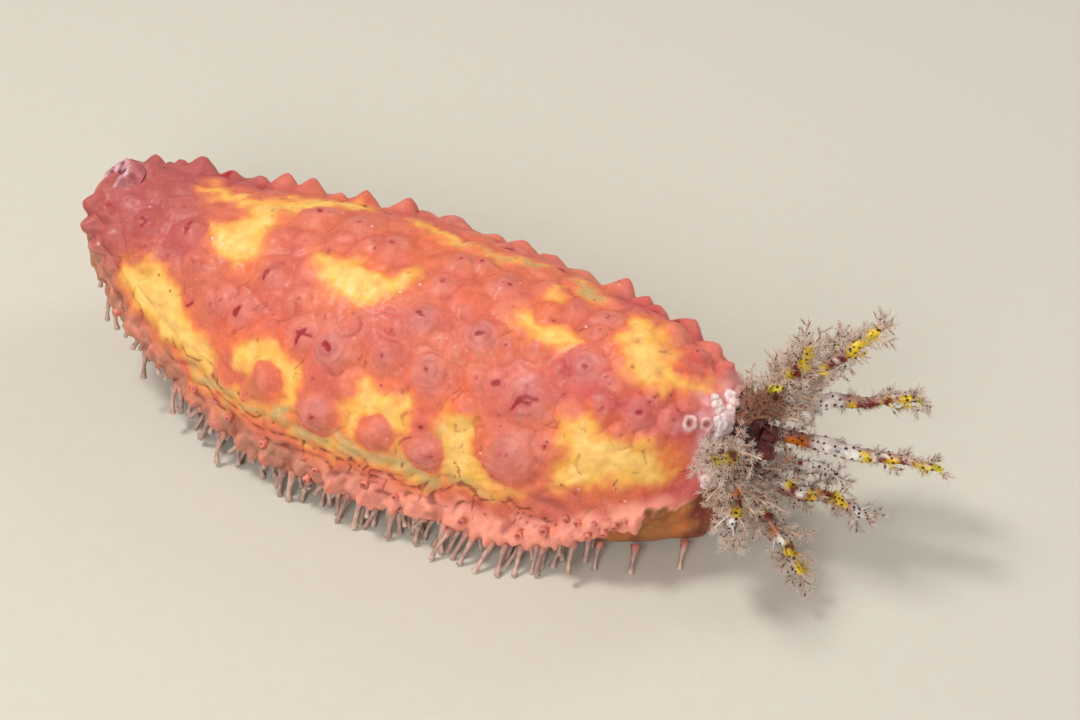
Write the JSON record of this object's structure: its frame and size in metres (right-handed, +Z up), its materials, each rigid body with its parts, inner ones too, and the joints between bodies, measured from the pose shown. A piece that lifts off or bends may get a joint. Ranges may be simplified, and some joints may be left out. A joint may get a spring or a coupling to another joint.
{
  "type": "sea cucumber model",
  "caption": "Still, life-size sea cucumber creeping on its sole, with domed papillae, a fringe of tube feet, white oral valves and a crown of branched tentacles spread ahead.",
  "frame": {"origin": "flat of the tube foot under the middle of the sole, on the floor", "axes": "+X to the head, +Y to the animal's left, +Z up"},
  "size_m": [0.1143, 0.0454, 0.0329],
  "materials": {
    "skin": "wet, soft, salmon red skin with yellow patches",
    "sole": "smooth, wet, orange brown skin",
    "pale_skin": "wet, pinkish white skin",
    "mouth": "wet, dark red skin",
    "tentacle": "thin, translucent, greyish brown skin with yellow and dark red spots"
  },
  "bodies": {
    "root": {"body_rear": "skin", "body_middle": "skin", "body_front": "skin", "sole": "sole", "anal_cone": "pale_skin", "oral_valve_1": "pale_skin", "oral_valve_2": "pale_skin", "oral_valve_3": "pale_skin", "oral_valve_4": "pale_skin", "oral_valve_5": "pale_skin", "introvert": "mouth", "mouth": "mouth", "tentacle_1": "tentacle", "tentacle_2": "tentacle", "tentacle_3": "tentacle", "tentacle_4": "tentacle", "tentacle_5": "tentacle", "tentacle_6": "tentacle", "tentacle_7": "tentacle", "tentacle_8": "tentacle", "tentacle_9": "tentacle", "tentacle_10": "tentacle"}
  },
  "joints": []
}
